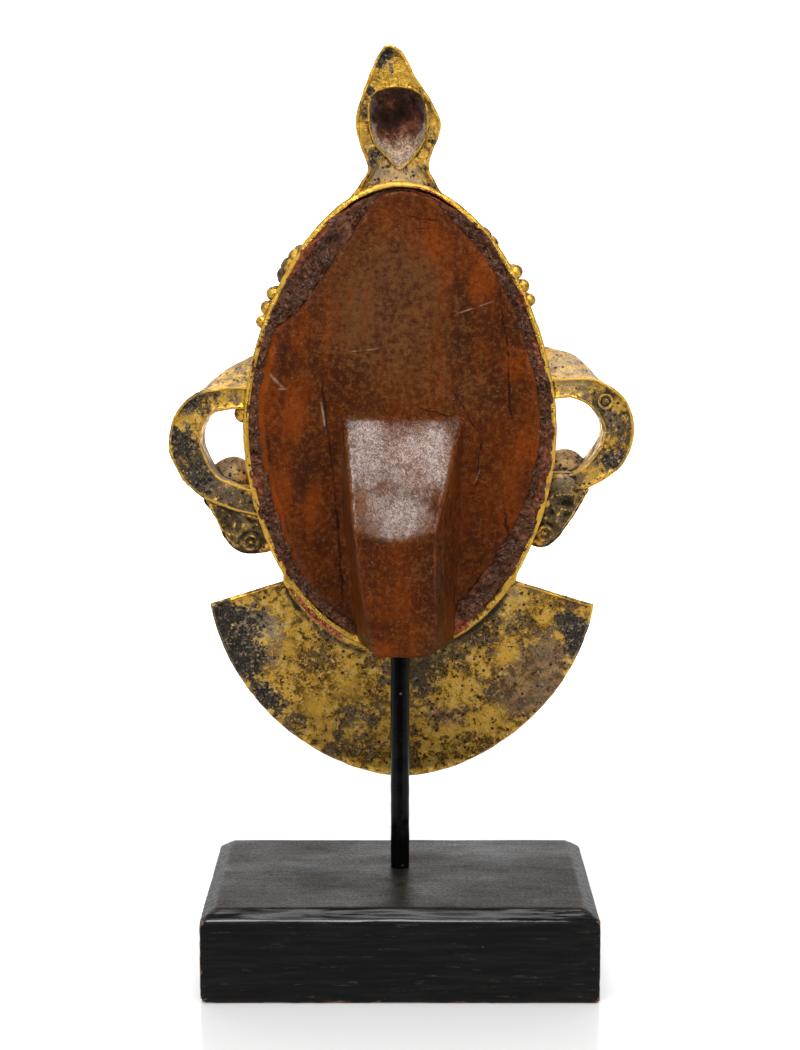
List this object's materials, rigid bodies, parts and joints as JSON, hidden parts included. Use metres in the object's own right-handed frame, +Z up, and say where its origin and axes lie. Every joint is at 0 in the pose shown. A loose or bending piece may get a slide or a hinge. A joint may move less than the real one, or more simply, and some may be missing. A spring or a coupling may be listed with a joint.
{
  "type": "brass mask on a stand",
  "caption": "Cast brass face mask with looped ears, flame finial and fan collar, backed by a wooden block and held by a rod on a black plinth.",
  "frame": {"origin": "middle of the plinth's underside, on the surface the stand rests on", "axes": "+Z up; the mask's face looks along -Y and its wooden backing, with the peg and the rod, is on the +Y side; +X is to the left when the back is seen"},
  "size_m": [0.1978, 0.1414, 0.382],
  "materials": {
    "brass": "worn cast brass with dark patina and earthy deposits",
    "waxed_wood": "red-brown waxed wood with a low gloss, scratched",
    "pitch": "dark lumpy bedding pitch, glossy",
    "black_steel": "gloss black paint",
    "black_wood": "black paint over grained wood, worn at the edges"
  },
  "bodies": {
    "root": {"brass_mask": "brass", "wood_block": "waxed_wood", "pitch_bedding": "pitch", "rod": "black_steel", "plinth": "black_wood"}
  },
  "joints": []
}
